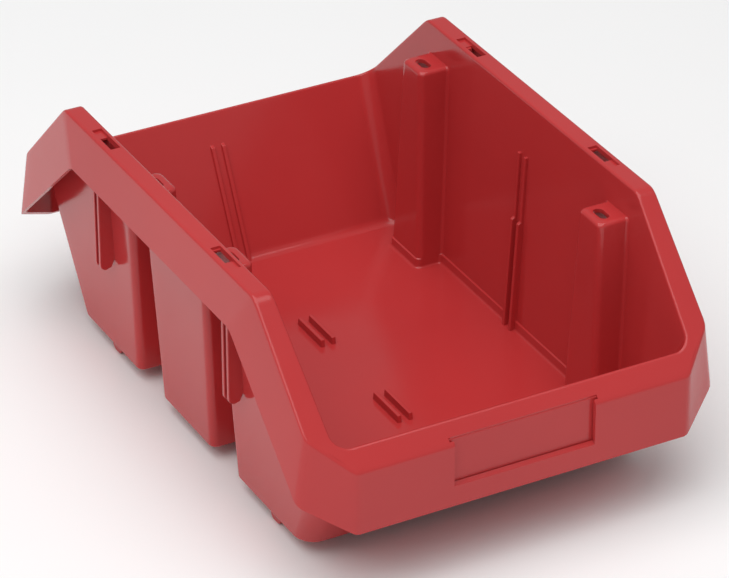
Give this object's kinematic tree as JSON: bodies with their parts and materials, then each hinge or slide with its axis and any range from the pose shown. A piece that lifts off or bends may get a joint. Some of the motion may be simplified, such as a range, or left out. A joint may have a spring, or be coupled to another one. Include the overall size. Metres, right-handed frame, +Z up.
{
  "type": "stackable storage bin",
  "caption": "Open-top stackable storage bin with sloped hopper rims at both ends, hanging skirt, hollow inner pillars and a label window.",
  "frame": {"origin": "centre of the footprint, at the bottom of the feet", "axes": "+Z up, +Y along the bin away from the label window, +X to the right when the label faces the viewer"},
  "size_m": [0.2116, 0.318, 0.1298],
  "materials": {
    "bin_plastic": "glossy moulded red polypropylene, outer walls almost mirror smooth"
  },
  "bodies": {
    "root": {"floor_panel": "bin_plastic", "left_side_wall": "bin_plastic", "right_side_wall": "bin_plastic", "front_end_wall": "bin_plastic", "rear_end_wall": "bin_plastic", "left_front_pillar": "bin_plastic", "left_rear_pillar": "bin_plastic", "right_front_pillar": "bin_plastic", "right_rear_pillar": "bin_plastic", "left_rim": "bin_plastic", "right_rim": "bin_plastic", "front_rim": "bin_plastic", "rear_rim": "bin_plastic", "label_plate": "bin_plastic", "left_front_fin_1": "bin_plastic", "left_front_fin_2": "bin_plastic", "left_rear_fin_1": "bin_plastic", "left_rear_fin_2": "bin_plastic", "right_front_fin_1": "bin_plastic", "right_front_fin_2": "bin_plastic", "right_rear_fin_1": "bin_plastic", "right_rear_fin_2": "bin_plastic", "left_front_foot": "bin_plastic", "left_rear_foot": "bin_plastic", "right_front_foot": "bin_plastic", "right_rear_foot": "bin_plastic", "front_floor_rib_1": "bin_plastic", "front_floor_rib_2": "bin_plastic", "rear_floor_rib_1": "bin_plastic", "rear_floor_rib_2": "bin_plastic", "left_wall_rib_1": "bin_plastic", "left_wall_rib_2": "bin_plastic", "right_wall_rib_1": "bin_plastic", "right_wall_rib_2": "bin_plastic", "front_wall_rib_1": "bin_plastic", "front_wall_rib_2": "bin_plastic", "rear_wall_rib_1": "bin_plastic", "rear_wall_rib_2": "bin_plastic"}
  },
  "joints": []
}
